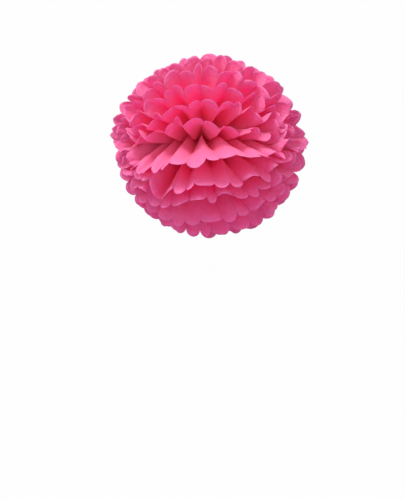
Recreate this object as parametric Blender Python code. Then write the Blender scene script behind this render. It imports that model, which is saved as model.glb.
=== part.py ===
"""Tissue paper pom pom, about 14 inches across, in metres with +Z up.

Ten sheets of tissue paper were folded together into one accordion strip, the strip's ends were cut
round, and a wire was twisted round its middle. Each sheet then opens on both sides of the wire into
a fan of folded panels with round ends, and the fans are turned apart like the pages of a book, so
that together they fill a ball. The flower side of the ball faces -Y.
"""
import math

import bmesh
import bpy
from mathutils import Vector

# How many
SHEET_COUNT = 10
PANEL_COUNT = 18

# The cut and folded sheet, from the waist to the middle of each fan's end
PANEL_WIDTH = 0.031
UPPER_LENGTH = 0.150
LOWER_LENGTH = 0.180
SCALLOP_DEPTH = 0.014
PAPER = 0.0003
PAPER_GAP = 0.0003

# The waist that the wire draws together, and the crushed throat of each fan next to it
WAIST_HALF_WIDTH = 0.0065
WAIST_LENGTH = 0.0024
WAIST_CROWN = 0.0010
WAIST_TAPER = 0.15
THROAT_LENGTH = 0.012

# The wire tie
WIRE_RADIUS = 0.0003
WIRE_GAP = 0.0003
WIRE_BEND = 0.0012
SHANK_LENGTH = 0.005
SHANK_TURNS = 1.5
BEND_STEPS = 2
STEPS_PER_TURN = 6

# How the fans lie. A turn is the angle about X, towards the front, from straight up for an upper fan
# and from straight down for a lower one. The front fans crowd at their ends by the power that
# FRONT_CROWDING adds. A spread is the angle between a fan's two sides, and the fans in the middle of
# the ball open to the middle spread at their ends. Near its sides a fan's folds stay more closed.
UPPER_FRONT_DEG = 80
UPPER_BACK_DEG = -79
LOWER_FRONT_DEG = 78
LOWER_BACK_DEG = -73
FRONT_CROWDING = 0.13
SPREAD_DEG = 164
MIDDLE_SPREAD_DEG = 190
UPPER_SIDE_CLOSING = 0.5
LOWER_SIDE_CLOSING = 0.1
OPENEST_PANEL = 0.995
UPPER_DROOP = 0.09
LOWER_DROOP = 0.15

# How far the fans' sides reach, part, roll, sag and wander from that. A reach is a share of the
# length, and the right side reaches further than the left one.
UPPER_SIDE_REACH = 0.145
LOWER_SIDE_REACH = -0.045
UPPER_RIGHT_REACH = 0.075
LOWER_RIGHT_REACH = 0.095
SIDE_PARTING = 0.4
UPPER_ROLL_DEG = -4
LOWER_ROLL_DEG = 16
UPPER_SAG_DEG = 15
LOWER_SAG_DEG = -28
WANDER_DEG = 7
WANDER_WAVES = 2.2
WANDER_STEP = 1.9
RIPPLE_DEG = 8
RIPPLE_WAVES = 8
RIPPLE_STEP = 2.6
SIDE_SHIFT_DEG = 3
FOLD_DRIFT = 0.35

# Where two neighbouring fans were pulled further apart: half, the sheet before the pocket, its
# heading from the fan's middle, its half width, and how far it lifts the sheets before it and drops
# those behind it. It fades from one sheet to the next.
POCKETS_DEG = ((1, 0, -24, 15, 3, 11), (1, 0, 5, 30, 2, 4))
POCKET_FADE = 4

# Folds that were moved by hand: half, sheet, fold from the middle one, how far it was pulled aside, in
# degrees, and its end depth
MOVED_FOLDS = (
    (0, 0, -1, -3, 0.5),
    (0, 0, 1, 4, 0.5),
    (1, 1, -1, 2, 0.8),
    (1, 1, -2, 3, 0.6),
    (1, 1, -3, 3, 4.0),
    (1, 1, -4, 1, 0.6),
)

# How far the folds stand out of their fan. They are at their full depth from FOLD_START on, and at
# the round ends they flatten again to the end depth, as a share of what they would be.
FOLD_START = 0.095
STEEPEST_FOLD_DEG = 19
DEPTH_DRIFT = 1.0
UPPER_END_DEPTH = 0.5
LOWER_END_DEPTH = 0.2

# Rows of the sheet between the throat and the round end, as shares of the fan's length
INNER_ROW = 0.33
OUTER_ROW = 0.68
SCALLOP_SIDES = 3

# Steps with no simple ratio, from which each fold takes its own irregular number
WAVE_STEP = 1.37
WAVE_FAST = 2.399
WAVE_SLOW = 1.117
WAVE_START = 0.7

PINK = (0.86, 0.035, 0.16, 1.0)
WIRE_GREY = (0.42, 0.43, 0.44, 1.0)

UPPER = 0
LOWER = 1
FRONT_DEG = (UPPER_FRONT_DEG, LOWER_FRONT_DEG)
BACK_DEG = (UPPER_BACK_DEG, LOWER_BACK_DEG)
LENGTH = (UPPER_LENGTH, LOWER_LENGTH)
DROOP = (UPPER_DROOP, LOWER_DROOP)
SIDE_REACH = (UPPER_SIDE_REACH, LOWER_SIDE_REACH)
RIGHT_REACH = (UPPER_RIGHT_REACH, LOWER_RIGHT_REACH)
ROLL_DEG = (UPPER_ROLL_DEG, LOWER_ROLL_DEG)
SAG_DEG = (UPPER_SAG_DEG, LOWER_SAG_DEG)
END_DEPTH = (UPPER_END_DEPTH, LOWER_END_DEPTH)
SIDE_CLOSING = (UPPER_SIDE_CLOSING, LOWER_SIDE_CLOSING)
ROWS_PER_HALF = 4
MIDDLE_FOLD = PANEL_COUNT // 2
LAYER_PITCH = PAPER + PAPER_GAP
STACK_HALF_DEPTH = (SHEET_COUNT * LAYER_PITCH - PAPER_GAP) / 2


def smooth_step(x):
    x = min(max(x, 0.0), 1.0)
    return x * x * (3 - 2 * x)


def wave(*terms):
    """A repeatable irregular number from -1 to 1."""
    phase = sum((index + WAVE_STEP) * term for index, term in enumerate(terms, 1))
    return math.sin(phase * WAVE_FAST + WAVE_START) * math.cos(phase * WAVE_SLOW)


def layer_depth(sheet):
    """Where a sheet lies in the waist along Y, from the front one to the back one."""
    return (sheet - (SHEET_COUNT - 1) / 2) * LAYER_PITCH


def frontness(sheet):
    """From 1 for the front sheet to -1 for the back one."""
    return math.sin(math.pi * (0.5 - sheet / (SHEET_COUNT - 1)))


def backness(sheet):
    """From 0 for the front sheets to 1 for the ones behind the middle."""
    return smooth_step(0.5 - frontness(sheet))


def outwards(half, along):
    """From 0 at the inner row, where the fans nest, to 1 at the round end."""
    return smooth_step((along / LENGTH[half] - INNER_ROW) / (1 - INNER_ROW))


def moved_fold(half, sheet, fold):
    """How a fold was moved by hand, or None."""
    for moved_half, moved_sheet, number, angle, end_depth in MOVED_FOLDS:
        if (half, sheet, fold - MIDDLE_FOLD) == (moved_half, moved_sheet, number):
            return angle, end_depth
    return None


def even_heading(half, fold):
    """Heading of a fold line where the fans nest. The folds near a fan's sides stay more closed."""
    closing = math.pi / 2 * SIDE_CLOSING[half]
    return math.radians(SPREAD_DEG) / 2 * math.sin(closing * (fold / MIDDLE_FOLD - 1)) / math.sin(closing)


def fold_pitch(half, fold):
    """Angle between neighbouring fold lines there."""
    return even_heading(half, fold + 0.5) - even_heading(half, fold - 0.5)


def side_opening(half, sheet, fold, along):
    """How far a fold line swings out where the fans in the middle of the ball open at their ends."""
    opening = math.radians(MIDDLE_SPREAD_DEG - SPREAD_DEG) / 2 * (1 - frontness(sheet) ** 2) ** 2
    return opening * (fold / MIDDLE_FOLD - 1) ** 3 * outwards(half, along)


def waist_point(half, sheet, fold):
    """Where a fold line leaves the waist."""
    side = 1 if half == UPPER else -1
    depth = layer_depth(sheet)
    bulge = 1 - (depth / STACK_HALF_DEPTH) ** 2
    half_width = WAIST_HALF_WIDTH * (1 - WAIST_TAPER * (1 - bulge))
    rise = WAIST_LENGTH / 2 + WAIST_CROWN * bulge
    return Vector((half_width * (2 * fold / PANEL_COUNT - 1), depth, side * rise))


def looseness(half, fold, along):
    """The fans nest at the inner row and at their sides, and lie as they like at the round end."""
    return math.sin(math.pi * fold / PANEL_COUNT) * outwards(half, along)


def fold_heading(half, sheet, fold, along):
    """Angle of a fold line from the middle of its fan."""
    shift = math.radians(SIDE_SHIFT_DEG) * wave(sheet, half, 3)
    drift = FOLD_DRIFT * fold_pitch(half, fold) * wave(sheet, fold, half)
    moved = moved_fold(half, sheet, fold)
    if moved:
        drift = math.radians(moved[0])
    even = even_heading(half, fold) + side_opening(half, sheet, fold, along)
    return even + (shift + drift) * looseness(half, fold, along)


def fan_turn(half, sheet, fold, heading, along):
    """How far a fan turns about X from straight up or down, at the distance along a fold line."""
    share = along / LENGTH[half]
    place = (sheet / (SHEET_COUNT - 1)) ** (1 + FRONT_CROWDING * outwards(half, along))
    turn = FRONT_DEG[half] + (BACK_DEG[half] - FRONT_DEG[half]) * place
    reach = math.sin(math.radians(turn)) ** 2 * share
    side = math.sin(heading)
    roll = ROLL_DEG[half] * side * reach if turn > 0 else 0.0
    sag = SAG_DEG[half] * side**2 * reach * math.copysign(1, turn)
    wander = WANDER_DEG * wave(sheet, half) * math.sin(WANDER_WAVES * heading + WANDER_STEP * sheet + half)
    settled = turn * (1 + DROOP[half] * (1 - share)) + roll + sag
    for pocket_half, before, middle, half_width, ahead, behind in POCKETS_DEG:
        if half == pocket_half:
            away = abs(sheet - before - 0.5) - 0.5
            near = math.exp(-away / POCKET_FADE - ((math.degrees(heading) - middle) / half_width) ** 2)
            settled += (ahead if sheet <= before else -behind) * near * share
    ripple = RIPPLE_DEG * backness(sheet)
    ripple *= math.sin(RIPPLE_WAVES * heading + RIPPLE_STEP * sheet + 2 * half)
    return math.radians(settled + (wander + ripple) * looseness(half, fold, along))


def fold_depth(half, sheet, fold, along):
    """How far a fold line stands up out of its fan, or below it where the number is negative."""
    open_width = min(along * fold_pitch(half, fold), OPENEST_PANEL * PANEL_WIDTH)
    depth = math.sqrt(PANEL_WIDTH**2 - open_width**2) / 2 * smooth_step(along / FOLD_START)
    depth *= 1 + DEPTH_DRIFT * wave(fold, sheet, half, 2) * looseness(half, fold, along)
    moved = moved_fold(half, sheet, fold)
    end_depth = moved[1] if moved else END_DEPTH[half]
    depth *= 1 - (1 - end_depth) * looseness(half, fold, along)
    return -depth if (fold - MIDDLE_FOLD) % 2 else depth


def fold_point(half, sheet, fold, along):
    """A point on fold line number fold, at the distance along from the waist."""
    heading = fold_heading(half, sheet, fold, along)
    arm = along * math.cos(heading)
    steepest = math.radians(STEEPEST_FOLD_DEG)
    tilt = fold_depth(half, sheet, fold, along) / max(arm, PAPER)
    tilt = max(-steepest, min(steepest, tilt))
    turn = fan_turn(half, sheet, fold, heading, along)
    about_x = turn - tilt if half == UPPER else math.pi - turn - tilt
    parting = SIDE_PARTING * frontness(sheet) * math.sin(heading) ** 2
    direction = Vector((
        math.sin(heading),
        -math.cos(heading) * math.sin(about_x) - parting,
        math.cos(heading) * math.cos(about_x),
    ))
    reach = RIGHT_REACH[half] * math.sin(heading) + SIDE_REACH[half] * math.sin(heading) ** 4
    stretch = 1 + reach * along / LENGTH[half]
    return waist_point(half, sheet, fold) + direction.normalized() * along * stretch


def sheet_point(half, sheet, across, row):
    """Point of the folded sheet at panel coordinate across, from row 0, the waist, to the round end."""
    fold = min(int(across), PANEL_COUNT - 1)
    part = across - fold
    if row == 0:
        return waist_point(half, sheet, across)
    notch = SCALLOP_DEPTH * (1 - math.sqrt(max(0.0, 1 - (2 * part - 1) ** 2)))
    end = LENGTH[half] - notch
    along = (THROAT_LENGTH, INNER_ROW * LENGTH[half], OUTER_ROW * LENGTH[half], end)[row - 1]
    near = fold_point(half, sheet, fold, along)
    far = fold_point(half, sheet, fold + 1, along)
    return near.lerp(far, part)


def make_material(name, colour, roughness, metallic):
    material = bpy.data.materials.new(name)
    material.use_nodes = True
    shader = material.node_tree.nodes["Principled BSDF"]
    shader.inputs["Base Color"].default_value = colour
    shader.inputs["Roughness"].default_value = roughness
    shader.inputs["Metallic"].default_value = metallic
    return material


def make_sheet(sheet, material):
    """One sheet of tissue: a flat grid with cut scallops, folded and fanned on both sides of the wire."""
    rows = 2 * ROWS_PER_HALF + 1
    bm = bmesh.new()
    bmesh.ops.create_grid(bm, x_segments=PANEL_COUNT, y_segments=rows, size=0.5)
    for vertex in bm.verts:
        vertex.co.x = (vertex.co.x + 0.5) * PANEL_COUNT
        vertex.co.y = round((vertex.co.y + 0.5) * rows)
    ends = [e for e in bm.edges if e.verts[0].co.y == e.verts[1].co.y and e.verts[0].co.y in (0, rows)]
    bmesh.ops.subdivide_edges(bm, edges=ends, cuts=SCALLOP_SIDES - 1)
    bmesh.ops.triangulate(bm, faces=bm.faces[:])
    for vertex in bm.verts:
        across = round(vertex.co.x * SCALLOP_SIDES) / SCALLOP_SIDES
        level = round(vertex.co.y)
        if level > ROWS_PER_HALF:
            vertex.co = sheet_point(UPPER, sheet, across, level - ROWS_PER_HALF - 1)
        else:
            vertex.co = sheet_point(LOWER, sheet, across, ROWS_PER_HALF - level)
    bmesh.ops.recalc_face_normals(bm, faces=bm.faces[:])
    mesh = bpy.data.meshes.new(f"tissue_sheet_{sheet + 1:02d}")
    bm.to_mesh(mesh)
    bm.free()
    mesh.materials.append(material)
    sheet_object = bpy.data.objects.new(mesh.name, mesh)
    bpy.context.scene.collection.objects.link(sheet_object)
    wall = sheet_object.modifiers.new("paper_thickness", "SOLIDIFY")
    wall.thickness = PAPER
    wall.offset = 0
    wall.use_rim = True


def arc(centre, radius, start, end, steps):
    return [
        (
            centre[0] + radius * math.cos(start + (end - start) * step / steps),
            centre[1] + radius * math.sin(start + (end - start) * step / steps),
            0.0,
        )
        for step in range(steps + 1)
    ]


def wire_route():
    """The wire's middle line: in along the shank, round the waist, and out along the shank."""
    clear = WIRE_GAP + WIRE_RADIUS
    half_x = WAIST_HALF_WIDTH + clear
    half_y = STACK_HALF_DEPTH + clear
    strand = WIRE_RADIUS + WIRE_GAP / 2
    bend = WIRE_BEND
    quarter = math.pi / 2
    right_side = arc((strand + bend, half_y + bend), bend, math.pi, math.pi + quarter, BEND_STEPS)
    right_side += arc((half_x - bend, half_y - bend), bend, quarter, 0, BEND_STEPS)
    right_side += arc((half_x - bend, bend - half_y), bend, 0, -quarter, BEND_STEPS)
    loop = right_side + [(-x, y, z) for x, y, z in reversed(right_side)]
    shank = []
    steps = round(STEPS_PER_TURN * SHANK_TURNS)
    for step in range(1, steps + 1):
        angle = 2 * math.pi * SHANK_TURNS * step / steps
        y = half_y + bend + SHANK_LENGTH * step / steps
        shank.append((strand * math.cos(angle), y, strand * math.sin(angle)))
    return list(reversed(shank)) + loop + [(-x, y, -z) for x, y, z in shank]


def make_wire(material):
    curve = bpy.data.curves.new("tie_wire", "CURVE")
    curve.dimensions = "3D"
    curve.bevel_depth = WIRE_RADIUS
    curve.bevel_resolution = 1
    curve.use_fill_caps = True
    route = wire_route()
    spline = curve.splines.new("POLY")
    spline.points.add(len(route) - 1)
    for point, place in zip(spline.points, route):
        point.co = (*place, 1.0)
    curve.materials.append(material)
    wire = bpy.data.objects.new("tie_wire", curve)
    bpy.context.scene.collection.objects.link(wire)


def main():
    for old in list(bpy.data.objects):
        bpy.data.objects.remove(old, do_unlink=True)
    paper = make_material("pink_tissue_paper", PINK, 0.85, 0.0)
    for sheet in range(SHEET_COUNT):
        make_sheet(sheet, paper)
    make_wire(make_material("tie_wire_steel", WIRE_GREY, 0.45, 1.0))


main()
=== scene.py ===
# %% [markdown]
# # A tissue paper pom pom
# A pom pom starts as a stack of tissue sheets, folded together like a fan and tied in the middle with
# wire. The ends are cut round, and then each sheet is pulled apart from the others until the stack
# has become a ball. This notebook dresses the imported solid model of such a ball: every plain sheet
# is replaced by a finely folded one with soft creases and curled petals, made of thin paper that
# lets light through.

# %% Load the frame
import math

import bmesh
import bpy
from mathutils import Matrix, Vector, noise


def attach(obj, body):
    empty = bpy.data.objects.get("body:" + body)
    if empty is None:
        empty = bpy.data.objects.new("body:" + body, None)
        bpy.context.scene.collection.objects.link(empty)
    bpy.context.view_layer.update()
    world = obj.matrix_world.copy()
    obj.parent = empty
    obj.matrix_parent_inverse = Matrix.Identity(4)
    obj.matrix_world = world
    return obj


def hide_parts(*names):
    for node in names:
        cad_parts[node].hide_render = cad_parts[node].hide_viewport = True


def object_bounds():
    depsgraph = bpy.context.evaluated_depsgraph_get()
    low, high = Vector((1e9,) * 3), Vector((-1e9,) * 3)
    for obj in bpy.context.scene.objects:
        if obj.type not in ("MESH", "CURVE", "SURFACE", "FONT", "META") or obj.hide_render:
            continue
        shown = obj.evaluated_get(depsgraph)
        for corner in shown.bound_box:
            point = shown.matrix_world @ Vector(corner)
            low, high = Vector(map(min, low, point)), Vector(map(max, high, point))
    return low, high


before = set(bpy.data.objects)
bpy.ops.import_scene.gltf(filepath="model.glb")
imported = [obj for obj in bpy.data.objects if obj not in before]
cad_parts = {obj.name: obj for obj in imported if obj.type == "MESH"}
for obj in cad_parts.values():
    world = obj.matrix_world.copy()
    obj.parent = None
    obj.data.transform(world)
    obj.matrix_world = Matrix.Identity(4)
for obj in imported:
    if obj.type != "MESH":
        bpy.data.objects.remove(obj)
CAD_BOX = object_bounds()
SHEETS = sorted(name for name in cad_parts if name.startswith("tissue_sheet"))
print("sheets:", len(SHEETS), "box:", [round(c, 3) for corner in CAD_BOX for c in corner])

# %% [markdown]
# ## How the sheets are cut and folded
# These are the sizes that the solid model was folded from, in metres and degrees, and they are
# repeated here because the fine sheets follow the same fold lines. A turn is the angle about X from
# straight up, for an upper fan, or from straight down, for a lower one, towards the front.

# %% Sizes of the folded stack
MM = 0.001

# The sheet, and the folded strip in the tie
PANEL_COUNT = 18
MIDDLE_FOLD = PANEL_COUNT // 2
PANEL_WIDTH = 31 * MM
OPENEST_PANEL = 0.995
SCALLOP_DEPTH = 14 * MM
PAPER = 0.3 * MM
PAPER_GAP = 0.3 * MM
LAYER_PITCH = PAPER + PAPER_GAP
STACK_HALF_DEPTH = (len(SHEETS) * LAYER_PITCH - PAPER_GAP) / 2
WAIST_HALF_WIDTH = 6.5 * MM
WAIST_LENGTH = 2.4 * MM
WAIST_CROWN = 1 * MM
WAIST_TAPER = 0.15

# The fans. A pair holds a number for the upper fans and one for the lower fans.
UPPER, LOWER = 0, 1
LENGTH = (150 * MM, 180 * MM)
RIGHT_REACH = (0.075, 0.095)
SIDE_REACH = (0.145, -0.045)
FRONT_DEG = (80, 78)
BACK_DEG = (-79, -73)
FRONT_CROWDING = 0.13
SPREAD_DEG = 164
MIDDLE_SPREAD_DEG = 190
SIDE_CLOSING = (0.5, 0.1)
SIDE_PARTING = 0.4
DROOP = (0.09, 0.15)
ROLL_DEG = (-4, 16)
SAG_DEG = (15, -28)

# The folds
INNER_ROW = 0.33
FOLD_START = 95 * MM
STEEPEST_FOLD_DEG = 19
END_DEPTH = (0.5, 0.2)

# What makes the fans and folds irregular
WANDER_DEG = 7
WANDER_WAVES = 2.2
WANDER_STEP = 1.9
RIPPLE_DEG = 8
RIPPLE_WAVES = 8
RIPPLE_STEP = 2.6
SIDE_SHIFT_DEG = 3.0
FOLD_DRIFT = 0.35
DEPTH_DRIFT = 1.0
WAVE_STEP = 1.37
WAVE_FAST = 2.399
WAVE_SLOW = 1.117
WAVE_START = 0.7

# Where a hand parted the fans: half, sheet ahead, heading, half width, lift ahead, drop behind
POCKETS_DEG = ((1, 0, -24, 15, 3, 11), (1, 0, 5, 30, 2, 4))
POCKET_FADE = 4

# Folds that a hand moved: half, sheet, fold from the middle one, degrees aside, depth at the end
MOVED_FOLDS = (
    (0, 0, -1, -3, 0.5),
    (0, 0, 1, 4, 0.5),
    (1, 1, -1, 2, 0.8),
    (1, 1, -2, 3, 0.6),
    (1, 1, -3, 3, 4.0),
    (1, 1, -4, 1, 0.6),
)
print("a sheet lies flat at about", round(PANEL_COUNT * PANEL_WIDTH * 1000), "mm wide")


# %% [markdown]
# ## Small helpers
# Paper that was folded by hand is never quite regular. A wave of the piece's own numbers gives each
# fold its own small error, and gives the same one each time the notebook runs.

# %% Helpers for smooth and irregular numbers
def smooth_step(x):
    x = min(max(x, 0.0), 1.0)
    return x * x * (3 - 2 * x)


def between(start, end, x):
    """From 0 before start to 1 after end, without a corner."""
    return smooth_step((x - start) / (end - start))


def mix(a, b, share):
    return a + (b - a) * share


def wave(*terms):
    """A repeatable irregular number from -1 to 1."""
    phase = sum((index + WAVE_STEP) * term for index, term in enumerate(terms, 1))
    return math.sin(phase * WAVE_FAST + WAVE_START) * math.cos(phase * WAVE_SLOW)


# %% [markdown]
# ## Where a fold line runs
# A fold line leaves the waist, runs outwards at its heading in the fan, and stands up out of the fan
# or drops below it, in turn. The nearer the waist, the narrower the room between two folds and the
# deeper the zigzag: the panel between them is always as wide as it was cut.

# %% Fold lines
def frontness(sheet):
    """From 1 for the front sheet to -1 for the back one."""
    return math.sin(math.pi * (0.5 - sheet / (len(SHEETS) - 1)))


def backness(sheet):
    """From 0 for the front sheets to 1 for the ones behind the middle."""
    return smooth_step(0.5 - frontness(sheet))


def outwards(half, along):
    """From 0 at the inner row, where the fans nest, to 1 at the round end."""
    return between(INNER_ROW, 1, along / LENGTH[half])


def even_heading(half, fold):
    """Heading of a fold line where the fans nest. The folds near a fan's sides stay more closed."""
    closing = math.pi / 2 * SIDE_CLOSING[half]
    place = math.sin(closing * (fold / MIDDLE_FOLD - 1)) / math.sin(closing)
    return math.radians(SPREAD_DEG) / 2 * place


def fold_pitch(half, fold):
    """Angle between neighbouring fold lines there."""
    return even_heading(half, fold + 0.5) - even_heading(half, fold - 0.5)


def side_opening(half, sheet, fold, along):
    """How far a fold line swings out where the fans in the middle of the ball open at their ends."""
    opening = math.radians(MIDDLE_SPREAD_DEG - SPREAD_DEG) / 2 * (1 - frontness(sheet) ** 2) ** 2
    return opening * (fold / MIDDLE_FOLD - 1) ** 3 * outwards(half, along)


def looseness(half, fold, along):
    """The fans nest near the waist and at their sides, and lie as they like at the round end."""
    return math.sin(math.pi * fold / PANEL_COUNT) * outwards(half, along)


def fold_line(half, sheet, fold, along):
    """Heading of a fold line from the fan's middle, and how far it stands out of the fan."""
    loose = looseness(half, fold, along)
    shift = math.radians(SIDE_SHIFT_DEG) * wave(sheet, half, 3)
    drift = FOLD_DRIFT * fold_pitch(half, fold) * wave(sheet, fold, half)
    end_depth = END_DEPTH[half]
    for moved_half, moved_sheet, number, angle, moved_depth in MOVED_FOLDS:
        if (half, sheet, fold - MIDDLE_FOLD) == (moved_half, moved_sheet, number):
            drift = math.radians(angle)
            end_depth = moved_depth
    heading = even_heading(half, fold) + side_opening(half, sheet, fold, along)
    heading += (shift + drift) * loose
    open_width = min(along * fold_pitch(half, fold), OPENEST_PANEL * PANEL_WIDTH)
    depth = math.sqrt(PANEL_WIDTH**2 - open_width**2) / 2 * smooth_step(along / FOLD_START)
    depth *= 1 + DEPTH_DRIFT * wave(fold, sheet, half, 2) * loose
    depth *= 1 - (1 - end_depth) * loose
    return heading, -depth if (fold - MIDDLE_FOLD) % 2 else depth


# %% [markdown]
# ## From the fan to its place in the ball
# The stack's sheets turn apart like the pages of a book. The front fans lie almost flat towards the
# viewer, the middle ones stand upright, and the back ones lie away. Their sides roll and sag a
# little further than their middles. The ones behind also ripple, so they fill the ball's sides.

# %% The fans' places
def waist_point(half, sheet, fold):
    """Where a fold line leaves the tie. The tied strip is thickest in the middle."""
    side = 1 if half == UPPER else -1
    depth = (sheet - (len(SHEETS) - 1) / 2) * LAYER_PITCH
    bulge = 1 - (depth / STACK_HALF_DEPTH) ** 2
    half_width = WAIST_HALF_WIDTH * (1 - WAIST_TAPER * (1 - bulge))
    rise = WAIST_LENGTH / 2 + WAIST_CROWN * bulge
    return Vector((half_width * (2 * fold / PANEL_COUNT - 1), depth, side * rise))


def fan_turn(half, sheet, fold, heading, along):
    """How far a fan turns about X from straight up or down, at the distance along a fold line."""
    share = along / LENGTH[half]
    place = (sheet / (len(SHEETS) - 1)) ** (1 + FRONT_CROWDING * outwards(half, along))
    turn = mix(FRONT_DEG[half], BACK_DEG[half], place)
    reach = math.sin(math.radians(turn)) ** 2 * share
    side = math.sin(heading)
    roll = ROLL_DEG[half] * side * reach if turn > 0 else 0.0
    sag = SAG_DEG[half] * side**2 * reach * math.copysign(1, turn)
    wander = WANDER_DEG * wave(sheet, half)
    wander *= math.sin(WANDER_WAVES * heading + WANDER_STEP * sheet + half)
    ripple = RIPPLE_DEG * backness(sheet)
    ripple *= math.sin(RIPPLE_WAVES * heading + RIPPLE_STEP * sheet + 2 * half)
    settled = turn * (1 + DROOP[half] * (1 - share)) + roll + sag
    for pocket_half, before, middle, half_width, ahead, behind in POCKETS_DEG:
        if half == pocket_half:
            away = abs(sheet - before - 0.5) - 0.5
            aside = (math.degrees(heading) - middle) / half_width
            near = math.exp(-away / POCKET_FADE - aside**2)
            settled += (ahead if sheet <= before else -behind) * near * share
    return math.radians(settled + (wander + ripple) * looseness(half, fold, along))


def fan_point(half, sheet, fold, heading, lift, along):
    """A point of the fan at the distance along from the waist, lifted out of the fan towards +Z."""
    arm = along * math.cos(heading)
    steepest = math.radians(STEEPEST_FOLD_DEG)
    tilt = max(-steepest, min(steepest, lift / max(arm, PAPER)))
    turn = fan_turn(half, sheet, fold, heading, along)
    about_x = turn - tilt if half == UPPER else math.pi - turn - tilt
    parting = SIDE_PARTING * frontness(sheet) * math.sin(heading) ** 2
    direction = Vector((
        math.sin(heading),
        -math.cos(heading) * math.sin(about_x) - parting,
        math.cos(heading) * math.cos(about_x),
    ))
    reach = RIGHT_REACH[half] * math.sin(heading) + SIDE_REACH[half] * math.sin(heading) ** 4
    stretch = 1 + reach * along / LENGTH[half]
    return waist_point(half, sheet, fold) + direction.normalized() * along * stretch


# %% [markdown]
# ## What makes a fold look like paper
# Three things: the crease is sharp near the waist, where it was pressed, and soft at the loose end;
# each petal is cupped between its creases; and its round end curls over a little. The petals at the
# sides of a fan were handled most, so they are looser, ruffled and more pointed than the others.

# %% A point of the finished sheet
PETAL_CUP = 3.5 * MM
TIP_CURL = 11 * MM
TIP_TWIST = 16 * MM
CREASE_SOFTNESS = 0.7
SIDE_RUFFLE = 6 * MM
SIDE_CURL = 1.2
SIDE_DEEPENING = 0.3
SIDE_POINTING = 0.6
POINT_POWER = 1.3
SIDE_SWING_DEG = 5
SWING_POWER = 9

# Between which shares of a petal's length each of its bends sets in
SOFTENING = (0.3125, 0.9375)
CUPPING = (1 / 3, 1)
TWISTING = (0.6, 1)
CURLING = (0.75, 1)
RUFFLING = (0.5, 1)

# Petals that a hand bent: half, sheet, panel from the middle fold, how far its tip curls and twists
BENT_PETALS_MM = (
    (0, 0, -1, 0, 6), (0, 0, 0, 1, 0), (0, 1, -1, -1, 4), (0, 1, 0, -2, 0), (0, 1, 1, 2, -4),
    (0, 2, -1, -3, 0), (0, 2, 0, -3, 3), (0, 2, 1, 4, 8), (0, 3, 1, -9, 0), (0, 3, 3, -10, -8),
    (1, 0, -2, 0, 0), (1, 0, -1, -9, 0), (1, 0, 0, 1, 0), (1, 0, 1, 0, 4), (1, 0, 2, -2, 0),
    (1, 0, 3, 1, -4), (1, 0, 4, -2, 0), (1, 0, -3, -3, 8), (1, 0, -5, -4, 12), (1, 0, -6, -6, -12),
    (1, 1, -2, -2, 4), (1, 1, -1, 0, 0), (1, 1, 0, 2, 0), (1, 1, 1, 1, 0), (1, 1, -3, 5, 14),
)


def sideness(fold):
    """From 0 in the middle of a fan to 1 at its sides."""
    return abs(fold / MIDDLE_FOLD - 1)


def bend(half, sheet, fold):
    """How far the tip of a petal curls over and twists."""
    for bent_half, bent_sheet, panel, curl, twist in BENT_PETALS_MM:
        if (half, sheet, fold - MIDDLE_FOLD) == (bent_half, bent_sheet, panel):
            return curl * MM, twist * MM
    looser = 1 + SIDE_CURL * sideness(fold + 0.5) ** 2
    return (
        TIP_CURL * looser * (0.1 + wave(fold, half, sheet, 7)),
        TIP_TWIST * looser * wave(half, sheet, fold, 9),
    )


def ruffle(half, sheet, fold, share):
    """How far the end of a fold line strays out of its fan. The sides of a fan stray furthest."""
    return SIDE_RUFFLE * sideness(fold) ** 2 * wave(sheet, half, fold, 4) * between(*RUFFLING, share)


def notch(fold, part):
    """How far the cut falls short of a petal's full length, at a part of the petal's width."""
    spiky = sideness(fold + 0.5) ** 3
    edge = abs(2 * part - 1)
    round_cut = 1 - math.sqrt(max(0.0, 1 - edge**2))
    cut = mix(round_cut, edge**POINT_POWER, SIDE_POINTING * spiky)
    return cut * SCALLOP_DEPTH * (1 + SIDE_DEEPENING * spiky)


def loose_line(half, sheet, fold, along, share):
    """A fold line that also closes on its neighbour at the sides, and is ruffled at its end."""
    heading, lift = fold_line(half, sheet, fold, along)
    swing = math.radians(SIDE_SWING_DEG) * (1 - outwards(half, along))
    heading += swing * (fold / MIDDLE_FOLD - 1) ** SWING_POWER
    return heading, lift + ruffle(half, sheet, fold, share)


def petal_point(half, sheet, across, share):
    """A point at panel coordinate across, and at a share of the way from the waist to the cut end."""
    fold = min(int(across), PANEL_COUNT - 1)
    part = across - fold
    along = share * (LENGTH[half] - notch(fold, part) * share**4)
    near_heading, near_lift = loose_line(half, sheet, fold, along, share)
    far_heading, far_lift = loose_line(half, sheet, fold + 1, along, share)
    heading = mix(near_heading, far_heading, part)
    softness = CREASE_SOFTNESS * between(*SOFTENING, share)
    lift = mix(near_lift, far_lift, mix(part, 0.5 - 0.5 * math.cos(math.pi * part), softness))
    arch = 4 * part * (1 - part)
    curl, twist = bend(half, sheet, fold)
    lift += PETAL_CUP * (0.5 + wave(sheet, fold, half, 5)) * arch * between(*CUPPING, share)
    lift += curl * arch * between(*CURLING, share)
    lift += twist * (part - 0.5) * arch * between(*TWISTING, share)
    return fan_point(half, sheet, across, heading, lift, along)


# %% [markdown]
# ## Making one sheet
# The sheet begins as a flat grid, as a real one does. The columns crowd towards the fold lines,
# where the round cut is steepest. The fold is then only a matter of giving every vertex its place.

# %% The folded sheets
COLUMNS_PER_PANEL = 10
ROWS_PER_HALF = 36
CRINKLES = ((26 * MM, 1.6 * MM), (9 * MM, 0.6 * MM))
CRINKLE_STEP = 5.0


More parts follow.
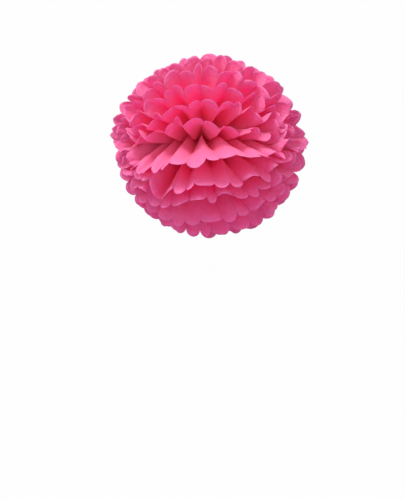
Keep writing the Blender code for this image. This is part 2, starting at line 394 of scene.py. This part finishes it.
def make_sheet(sheet, name):
    """Fold one sheet. The row of faces between the two middle levels is the strip in the tie."""
    rows = 2 * ROWS_PER_HALF + 1
    bm = bmesh.new()
    bmesh.ops.create_grid(bm, x_segments=PANEL_COUNT * COLUMNS_PER_PANEL, y_segments=rows, size=0.5)
    flat = bm.loops.layers.uv.new("cut_sheet")
    for face in bm.faces:
        for loop in face.loops:
            loop[flat].uv = (
                (loop.vert.co.x + 0.5) * PANEL_COUNT * PANEL_WIDTH,
                (loop.vert.co.y + 0.5) * 2 - 1,
            )
    for vertex in bm.verts:
        column = round((vertex.co.x + 0.5) * PANEL_COUNT * COLUMNS_PER_PANEL)
        level = round((vertex.co.y + 0.5) * rows)
        part = column % COLUMNS_PER_PANEL / COLUMNS_PER_PANEL
        across = column // COLUMNS_PER_PANEL + 0.5 - 0.5 * math.cos(math.pi * part)
        if level > ROWS_PER_HALF:
            vertex.co = petal_point(UPPER, sheet, across, (level - ROWS_PER_HALF - 1) / ROWS_PER_HALF)
        else:
            vertex.co = petal_point(LOWER, sheet, across, (ROWS_PER_HALF - level) / ROWS_PER_HALF)
    bmesh.ops.recalc_face_normals(bm, faces=bm.faces[:])
    bm.normal_update()
    for vertex in bm.verts:
        loose = smooth_step(vertex.co.length / LENGTH[UPPER])
        for size, depth in CRINKLES:
            bump = noise.noise(vertex.co / size + Vector((sheet * CRINKLE_STEP, 0, 0)))
            vertex.co += vertex.normal * depth * loose * bump
    mesh = bpy.data.meshes.new(f"folded_{name}")
    bm.to_mesh(mesh)
    bm.free()
    mesh.shade_smooth()
    piece = bpy.data.objects.new(f"folded_{name}", mesh)
    bpy.context.scene.collection.objects.link(piece)
    wall = piece.modifiers.new("paper_thickness", "SOLIDIFY")
    wall.thickness = PAPER
    wall.offset = 0
    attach(piece, "root")
    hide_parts(name)
    return piece


folded = [make_sheet(number, name) for number, name in enumerate(SHEETS)]
print("folded sheets:", len(folded), "faces in one:", len(folded[0].data.polygons))


# %% [markdown]
# ## Paper
# Dyed tissue is matt and thin. Part of the light that meets it comes back, coloured, and part goes
# through and colours what lies behind, so the crevices between the petals glow instead of going
# grey. A diffuse shader mixed with a translucent one gives both. Towards the cut ends the paper is
# painted a little paler and more lilac: painted light, standing in for the bluish fill and the light
# that comes through their single layer. The paper there is also crushed from handling.

# %% Material helpers
def srgb(hex_colour):
    """Turn a hex colour, as picked on a screen, into the linear values that Blender works in."""
    channels = [int(hex_colour[i : i + 2], 16) / 255 for i in (1, 3, 5)]
    linear = [c / 12.92 if c <= 0.04045 else ((c + 0.055) / 1.055) ** 2.4 for c in channels]
    return (*linear, 1.0)


def add_node(tree, kind, inputs=None, **settings):
    """Add a node, set its properties, and set or link its inputs."""
    node = tree.nodes.new(kind)
    for key, value in settings.items():
        setattr(node, key, value)
    for key, value in (inputs or {}).items():
        if isinstance(value, bpy.types.NodeSocket):
            tree.links.new(value, node.inputs[key])
        else:
            node.inputs[key].default_value = value
    return node


def new_material(name):
    material = bpy.data.materials.new(name)
    material.use_nodes = True
    material.node_tree.nodes.clear()
    return material, material.node_tree


# %% Dyed tissue paper
CLOUD = 45 * MM
WRINKLE = 6 * MM
CRUSH = 22 * MM
# Painted light at the cut ends: where the paler, lilac paint starts and how strong it gets. The same
# share also scales the crush.
ENDS = (0.75, 1.0)
END_TINT = 0.45
LIGHT_THROUGH = 0.45

# The sockets of a Mix node that mixes colours
FIRST, SECOND, MIXED = 6, 7, 2


def dyed_tissue():
    material, tree = new_material("dyed_tissue_paper")
    where = add_node(tree, "ShaderNodeTexCoord")
    place = where.outputs["Object"]
    on_sheet = add_node(tree, "ShaderNodeSeparateXYZ", {"Vector": where.outputs["UV"]})
    outer = add_node(tree, "ShaderNodeMath", {0: on_sheet.outputs["Y"]}, operation="ABSOLUTE")
    cloud = add_node(tree, "ShaderNodeTexNoise", {"Vector": place, "Scale": 1 / CLOUD, "Detail": 3.0})
    dye = add_node(tree, "ShaderNodeMix", {
        "Factor": cloud.outputs["Fac"], FIRST: srgb("#FB82B4"), SECOND: srgb("#FD90C0"),
    }, data_type="RGBA")
    at_end = add_node(tree, "ShaderNodeMapRange", {
        "Value": outer.outputs[0], "From Min": ENDS[0], "From Max": ENDS[1], "To Max": END_TINT,
    })
    # Painted light: towards the cut ends the dye is mixed with a paler lilac, which stands in for the
    # bluish fill and the light through the thin ends.
    paper = add_node(tree, "ShaderNodeMix", {
        "Factor": at_end.outputs["Result"], FIRST: dye.outputs[MIXED], SECOND: srgb("#F598D6"),
    }, data_type="RGBA")
    wrinkle = add_node(tree, "ShaderNodeTexNoise", {
        "Vector": place, "Scale": 1 / WRINKLE, "Detail": 4.0,
    })
    fine = add_node(tree, "ShaderNodeBump", {
        "Height": wrinkle.outputs["Fac"], "Strength": 0.25, "Distance": 0.6 * MM,
    })
    crush = add_node(tree, "ShaderNodeTexVoronoi", {
        "Vector": place, "Scale": 1 / CRUSH, "Detail": 2.0,
    }, feature="F1")
    crushed = add_node(tree, "ShaderNodeMath", {
        0: crush.outputs["Distance"], 1: at_end.outputs["Result"],
    }, operation="MULTIPLY")
    bump = add_node(tree, "ShaderNodeBump", {
        "Height": crushed.outputs[0], "Strength": 0.8, "Distance": 9 * MM,
        "Normal": fine.outputs["Normal"],
    })
    front = add_node(tree, "ShaderNodeBsdfPrincipled", {
        "Base Color": paper.outputs[MIXED], "Roughness": 0.55, "Normal": bump.outputs["Normal"],
        "Specular IOR Level": 0.5, "Sheen Weight": 0.3, "Sheen Roughness": 0.5,
    })
    through = add_node(tree, "ShaderNodeBsdfTranslucent", {
        "Color": srgb("#FE5CC2"), "Normal": bump.outputs["Normal"],
    })
    both = add_node(tree, "ShaderNodeMixShader", {
        0: LIGHT_THROUGH, 1: front.outputs["BSDF"], 2: through.outputs["BSDF"],
    })
    add_node(tree, "ShaderNodeOutputMaterial", {"Surface": both.outputs["Shader"]})
    return material


tissue = dyed_tissue()
for piece in folded:
    piece.data.materials.append(tissue)
print("paper on", len(folded), "sheets")


# %% [markdown]
# ## Wire
# The tie is plain florist wire: thin drawn steel, dull grey.

# %% Drawn steel wire
WIRE_GRAIN = 2 * MM


def drawn_steel():
    material, tree = new_material("drawn_steel_wire")
    place = add_node(tree, "ShaderNodeTexCoord").outputs["Object"]
    dull = add_node(tree, "ShaderNodeTexNoise", {"Vector": place, "Scale": 1 / WIRE_GRAIN})
    rough = add_node(tree, "ShaderNodeMapRange", {
        "Value": dull.outputs["Fac"], "To Min": 0.35, "To Max": 0.55,
    })
    metal = add_node(tree, "ShaderNodeBsdfPrincipled", {
        "Base Color": srgb("#A9ABAD"), "Metallic": 1.0, "Roughness": rough.outputs["Result"],
    })
    add_node(tree, "ShaderNodeOutputMaterial", {"Surface": metal.outputs["BSDF"]})
    return material


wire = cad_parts["tie_wire"]
wire.data.materials.clear()
wire.data.materials.append(drawn_steel())
print("wire on", wire.name)

# %% [markdown]
# ## Floor, light and camera
# The ball hangs in front of a plain pale ground. One large soft lamp up on the left and the pale
# world light it, so its lower right lies in soft shade. The camera sees the ground and the world as
# plain white, as the ground of a catalogue picture is, and the paper is lit by their real tones.

# %% Floor and backdrop
FLOOR_Z = CAD_BOX[0].z - 60 * MM
GROUND_HALF = 4.0
GROUND_AHEAD = 2.0
FLAT_BEHIND = 1.5
CURVE_RADIUS = 1.0
WHITE_SHARE = 0.985


def seen_straight(tree):
    """1 for what the camera sees, also mirrored or through something, and 0 for light on things."""
    path = add_node(tree, "ShaderNodeLightPath")
    mirrored = add_node(tree, "ShaderNodeMath", {
        0: path.outputs["Is Glossy Ray"], 1: path.outputs["Is Transmission Ray"],
    }, operation="MAXIMUM")
    seen = add_node(tree, "ShaderNodeMath", {
        0: path.outputs["Is Camera Ray"], 1: mirrored.outputs[0],
    }, operation="MAXIMUM")
    return seen.outputs[0]


def plain_ground():
    material, tree = new_material("plain_white_ground")
    matt = add_node(tree, "ShaderNodeBsdfPrincipled", {"Base Color": srgb("#A89CB4"), "Roughness": 0.9})
    white = add_node(tree, "ShaderNodeEmission", {"Color": srgb("#FFFFFF"), "Strength": 1.0})
    share = add_node(tree, "ShaderNodeMath", {
        0: seen_straight(tree), 1: WHITE_SHARE,
    }, operation="MULTIPLY")
    ground = add_node(tree, "ShaderNodeMixShader", {
        0: share.outputs[0], 1: matt.outputs["BSDF"], 2: white.outputs["Emission"],
    })
    add_node(tree, "ShaderNodeOutputMaterial", {"Surface": ground.outputs["Shader"]})
    return material


def make_ground():
    """A floor that curves up into a backdrop behind the ball."""
    bm = bmesh.new()
    bmesh.ops.create_grid(bm, x_segments=1, y_segments=40, size=GROUND_HALF)
    for vertex in bm.verts:
        run = vertex.co.y + GROUND_AHEAD
        angle = min(max(run - FLAT_BEHIND, 0.0) / CURVE_RADIUS, math.pi / 2)
        rest = max(run - FLAT_BEHIND - CURVE_RADIUS * math.pi / 2, 0.0)
        vertex.co.y = min(run, FLAT_BEHIND) + CURVE_RADIUS * math.sin(angle)
        vertex.co.z = FLOOR_Z + CURVE_RADIUS * (1 - math.cos(angle)) + rest
    mesh = bpy.data.meshes.new("ground")
    bm.to_mesh(mesh)
    bm.free()
    mesh.shade_smooth()
    ground = bpy.data.objects.new("ground", mesh)
    ground.data.materials.append(plain_ground())
    bpy.context.scene.collection.objects.link(ground)


make_ground()

# %% Light
world = bpy.data.worlds.new("pale_world")
bpy.context.scene.world = world
world.use_nodes = True
sky = world.node_tree
daylight = sky.nodes["Background"]
daylight.inputs["Color"].default_value = srgb("#F4F7FF")
daylight.inputs["Strength"].default_value = 1.0
plain_white = add_node(sky, "ShaderNodeBackground", {"Color": srgb("#FFFFFF"), "Strength": 1.0})
seen_world = add_node(sky, "ShaderNodeMixShader", {
    0: seen_straight(sky), 1: daylight.outputs["Background"], 2: plain_white.outputs["Background"],
})
sky.links.new(seen_world.outputs["Shader"], sky.nodes["World Output"].inputs["Surface"])


def place_and_aim(thing, place, target):
    """Put a lamp or a camera at a place, looking at a target."""
    thing.location = place
    thing.rotation_euler = (Vector(target) - Vector(place)).to_track_quat("-Z", "Y").to_euler()
    bpy.context.scene.collection.objects.link(thing)


key = bpy.data.lights.new("key", "AREA")
key.shape = "DISK"
key.size = 1.0
key.energy = 48
place_and_aim(bpy.data.objects.new("key", key), (-0.9, -1.1, 2.2), (0, 0, 0))

# %% [markdown]
# The camera looks at the ball from straight in front, as the photo does, and its aim puts the tie
# at the same place in the picture. Light passes many layers of thin paper before it gets out of a
# crevice, so it needs more bounces than usual.

# %% Camera
PHOTO_WIDTH, PHOTO_HEIGHT = 404, 500
TIE_PIXEL = (201.5, 138)
METRES_PER_PIXEL = 0.00183
CAMERA_DISTANCE = 2.4
SENSOR = 36.0

camera_data = bpy.data.cameras.new("camera")
camera_data.sensor_width = SENSOR
camera_data.lens = SENSOR * CAMERA_DISTANCE / (METRES_PER_PIXEL * PHOTO_HEIGHT)
camera = bpy.data.objects.new("camera", camera_data)
side = (PHOTO_WIDTH / 2 - TIE_PIXEL[0]) * METRES_PER_PIXEL
drop = (PHOTO_HEIGHT / 2 - TIE_PIXEL[1]) * METRES_PER_PIXEL
place_and_aim(camera, (0, -CAMERA_DISTANCE, 0), (side, 0, -drop))

shot = bpy.context.scene
shot.camera = camera
shot.view_settings.view_transform = "Standard"
shot.cycles.max_bounces = 24
shot.cycles.diffuse_bounces = 16
shot.cycles.transmission_bounces = 16
